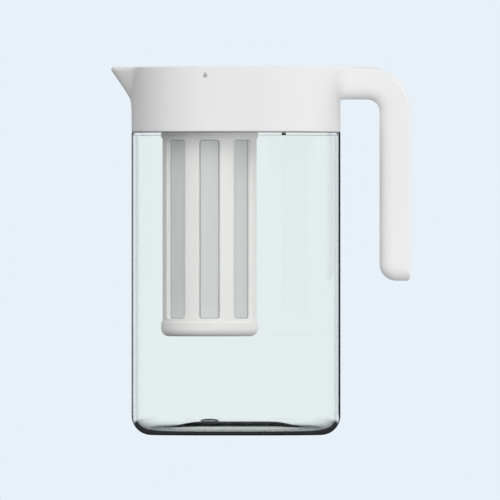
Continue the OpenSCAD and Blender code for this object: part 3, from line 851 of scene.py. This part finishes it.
def make_drop_mark():
    """A drop that follows the collar's front: a circle with tangents up to its tip."""
    arc_points = 33
    low, high = (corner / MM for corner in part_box("pour_mark"))
    radius = (high.x - low.x) / 2
    middle_x = (high.x + low.x) / 2
    middle_z = low.z + radius
    tip = (high.z - middle_z) / radius
    side = math.acos(1 / tip)
    turns = np.linspace(math.pi / 2 + side, 5 * math.pi / 2 - side, arc_points)
    outline = [(0, tip * radius)] + [(radius * math.cos(t), radius * math.sin(t)) for t in turns]
    rows = ((1.0, -MARK_SINK), (1.0, MARK_SIDE), (MARK_FACE_SHARE, MARK_RISE), (0.0, MARK_RISE))
    vertices = []
    for scale, out in rows:
        for x, z in outline:
            at = middle_x + scale * x
            front = math.sqrt(END_RADIUS**2 - min(at - LID_X, 0) ** 2)
            vertices.append((at, -front - out, middle_z + scale * z))
    faces = ring_faces(len(rows), len(outline))
    faces.append(tuple(reversed(range(len(outline)))))
    piece = mesh_piece("drop_mark", vertices, faces, [mark_grey])
    stand_for(piece, "pour_mark", "jug")


make_vessel()
make_gate()
mould("collar", collar_field, "collar_shell", "jug", cell=0.8)
mould("grip_inlay", inlay_field, "handle_inlay", "jug", cell=0.6)
mould("strainer", strainer_field, "strainer_frame", "strainer", cell=0.7)
make_mesh()
make_shade_lines()
make_keys()
make_drop_mark()

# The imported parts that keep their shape
FINISHES = {
    "neck_seal": silicone, "collar_floor": white, "lid_plug": white,
    "lid_upper_seal": silicone, "lid_lower_seal": silicone, "port_seal": silicone, "lid_dial": white,
    "dial_pointer": mark_grey, "valve_drum": white, "drum_seal": silicone, "dial_screw": steel,
}
for node_name, finish in FINISHES.items():
    for material_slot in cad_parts[node_name].material_slots:
        material_slot.material = finish


# The studio: a pale floor, soft boxes and a plain backdrop

def calc(tree, operation, *values):
    """The result of a math node whose inputs are sockets or numbers."""
    node = add_node(tree, "ShaderNodeMath", operation=operation)
    for socket, value in zip(node.inputs, values):
        if isinstance(value, (int, float)):
            socket.default_value = value
        else:
            tree.links.new(value, socket)
    return node.outputs[0]


def ramp(tree, value, low, high, start, end):
    """A smooth run from start to end as value goes from low to high."""
    node = add_node(tree, "ShaderNodeMapRange", interpolation_type="SMOOTHSTEP")
    for key, number in (("From Min", low), ("From Max", high), ("To Min", start), ("To Max", end)):
        node.inputs[key].default_value = number
    tree.links.new(value, node.inputs["Value"])
    return node.outputs["Result"]


def along(tree, direction, axis):
    """How far a direction goes along an axis."""
    node = add_node(tree, "ShaderNodeVectorMath", operation="DOT_PRODUCT")
    node.inputs[1].default_value = axis
    tree.links.new(direction, node.inputs[0])
    return node.outputs["Value"]


def glow(tree, kind, colour, strength):
    """An emitting shader whose strength is a socket."""
    node = add_node(tree, kind)
    node.inputs["Color"].default_value = (*colour, 1)
    tree.links.new(strength, node.inputs["Strength"])
    return node.outputs[0]


def by_view(tree, light, mirrored, straight):
    """Three shaders: for light on its way, for what a gloss shows, and for a straight view."""
    half_a_bounce = 0.5
    path = add_node(tree, "ShaderNodeLightPath").outputs
    first = calc(tree, "LESS_THAN", path["Diffuse Depth"], half_a_bounce)
    gloss = calc(tree, "GREATER_THAN", path["Glossy Depth"], half_a_bounce)
    eye = calc(tree, "MAXIMUM", path["Is Camera Ray"], path["Is Transmission Ray"])
    plain = calc(tree, "GREATER_THAN", eye, gloss)
    shader = light
    for factor, other in ((gloss, mirrored), (plain, straight)):
        node = add_node(tree, "ShaderNodeMixShader")
        tree.links.new(calc(tree, "MULTIPLY", factor, first), node.inputs[0])
        tree.links.new(shader, node.inputs[1])
        tree.links.new(other, node.inputs[2])
        shader = node.outputs[0]
    return shader


def metres(lengths):
    return [length * MM for length in lengths]


def floor_fill(tree, where):
    """The light that the floor gives to matt surfaces."""
    distance = add_node(tree, "ShaderNodeVectorMath", operation="LENGTH")
    tree.links.new(where, distance.inputs[0])
    near = ramp(tree, distance.outputs["Value"], *metres(NEAR_EDGE), NEAR_SHARE, 1)
    reach = FLOOR_REACH * MM
    side = ramp(tree, along(tree, where, FLOOR_SIDE), -reach, reach, FLOOR_DIM, FLOOR_BRIGHT)
    return calc(tree, "MULTIPLY", near, side)


def floor_gloss(tree, where):
    """The floor as a gloss mirrors it."""
    axes = add_node(tree, "ShaderNodeSeparateXYZ")
    tree.links.new(where, axes.inputs[0])
    depth = axes.outputs["Y"]
    wide = calc(tree, "ABSOLUTE", axes.outputs["X"])
    end_x = calc(tree, "MAXIMUM", calc(tree, "SUBTRACT", wide, END_OFFSET * MM), 0)
    squares = calc(tree, "MULTIPLY_ADD", end_x, end_x, calc(tree, "POWER", depth, 2))
    apart = calc(tree, "SUBTRACT", calc(tree, "SQRT", squares), END_RADIUS * MM)
    ahead = ramp(tree, apart, *metres(SHINE_FRONT), 0, 1)
    beyond = ramp(tree, apart, *metres(SHINE_BACK), 0, 1)
    end = ramp(tree, wide, *metres(SHINE_END), 0, 1)
    back = calc(tree, "MULTIPLY", end, ramp(tree, depth, -END_RADIUS * MM, 0, 0, 1))
    open_floor = calc(tree, "MULTIPLY_ADD", back, calc(tree, "SUBTRACT", beyond, ahead), ahead)
    aside = calc(tree, "ABSOLUTE", calc(tree, "SUBTRACT", wide, STREAK_X * MM))
    spread = calc(tree, "MULTIPLY", calc(tree, "SUBTRACT", depth, STREAK_Y * MM), STREAK_SPREAD)
    streak = ramp(tree, calc(tree, "SUBTRACT", spread, aside), 0, STREAK_EDGE * MM, 1, 0)
    shine = calc(tree, "MULTIPLY", open_floor, streak)
    return ramp(tree, shine, 0, 1, FLOOR_GLOSS, FLOOR_SHINE)


def floor_shade(tree):
    """The floor seen straight on, darker in the shade of what stands on it."""
    open_sky = add_node(tree, "ShaderNodeAmbientOcclusion", Distance=SHADE_REACH * MM)
    return ramp(tree, open_sky.outputs["AO"], 0, 1, SHADE_LEVEL, 1)


def make_floor():
    """A pale floor, with a level of its own for each of the three views."""
    half = FLOOR_HALF * MM
    corners = [(-half, -half), (half, -half), (half, half), (-half, half)]
    mesh = bpy.data.meshes.new("floor")
    mesh.from_pydata([(x, y, -FLOOR_DROP * MM) for x, y in corners], [], [(0, 1, 2, 3)])
    material = bpy.data.materials.new("floor")
    material.use_nodes = True
    tree = material.node_tree
    tree.nodes.clear()
    where = add_node(tree, "ShaderNodeTexCoord").outputs["Object"]
    kind = "ShaderNodeEmission"
    shader = by_view(
        tree,
        glow(tree, kind, WHITE, floor_fill(tree, where)),
        glow(tree, kind, BACKDROP, floor_gloss(tree, where)),
        glow(tree, kind, BACKDROP, floor_shade(tree)),
    )
    output = add_node(tree, "ShaderNodeOutputMaterial")
    tree.links.new(shader, output.inputs["Surface"])
    mesh.materials.append(material)
    floor = bpy.data.objects.new("floor", mesh)
    bpy.context.scene.collection.objects.link(floor)


def make_light():
    """Soft boxes for matt surfaces, a room for a gloss and a plain backdrop for a straight view."""
    world = bpy.data.worlds.new("studio")
    bpy.context.scene.world = world
    world.use_nodes = True
    tree = world.node_tree
    tree.nodes.clear()
    where = add_node(tree, "ShaderNodeTexCoord").outputs["Generated"]
    axes = add_node(tree, "ShaderNodeSeparateXYZ")
    tree.links.new(where, axes.inputs[0])
    sky = 0.0
    for turn, lift, level in SOFT_BOXES:
        flat = math.cos(lift)
        centre = Vector((math.sin(turn) * flat, -math.cos(turn) * flat, math.sin(lift)))
        box = ramp(tree, along(tree, where, centre), BOX_EDGE, 1, 0, level)
        sky = calc(tree, "ADD", sky, box)
    above = calc(tree, "GREATER_THAN", axes.outputs["Z"], 0)
    below = ramp(tree, along(tree, where, FLOOR_SIDE), -FLOOR_SLOPE, FLOOR_SLOPE, FLOOR_DIM, FLOOR_BRIGHT)
    fill = calc(tree, "MULTIPLY_ADD", above, calc(tree, "SUBTRACT", sky, below), below)
    dark = Vector((math.sin(DARK_TURN), math.cos(DARK_TURN), 0))
    behind = ramp(tree, along(tree, where, dark), *DARK_EDGE, 0, 1)
    steep = ramp(tree, calc(tree, "ABSOLUTE", axes.outputs["Z"]), *STEEP_EDGE, 0, 1)
    away = calc(tree, "MULTIPLY", steep, ramp(tree, axes.outputs["Y"], *AWAY_EDGE, 0, 1))
    room = ramp(tree, calc(tree, "MAXIMUM", behind, away), 0, 1, ROOM_BRIGHT, ROOM_DARK)
    through = add_node(tree, "ShaderNodeLightPath").outputs["Is Transmission Ray"]
    high = ramp(tree, axes.outputs["Z"], *OVERHEAD_EDGE, 0, OVERHEAD_SHADE)
    overhead = calc(tree, "MULTIPLY", through, high)
    kind = "ShaderNodeBackground"
    shader = by_view(
        tree,
        glow(tree, kind, WHITE, fill),
        glow(tree, kind, BACKDROP, room),
        glow(tree, kind, BACKDROP, calc(tree, "SUBTRACT", 1, overhead)),
    )
    output = add_node(tree, "ShaderNodeOutputWorld")
    tree.links.new(shader, output.inputs["Surface"])


def make_camera():
    """A long lens, level and square on, from far away."""
    data = bpy.data.cameras.new("camera")
    data.lens = LENS
    data.sensor_width = SENSOR
    away = VIEW_WIDTH * MM * LENS / SENSOR
    camera = bpy.data.objects.new("camera", data)
    camera.location = (VIEW_X * MM, -away, VIEW_Z * MM)
    camera.rotation_euler = (math.pi / 2, 0, 0)
    data.clip_end = CLIP_SHARE * away
    bpy.context.scene.collection.objects.link(camera)
    bpy.context.scene.camera = camera


make_floor()
make_light()
make_camera()
bpy.context.scene.view_settings.view_transform = "Standard"
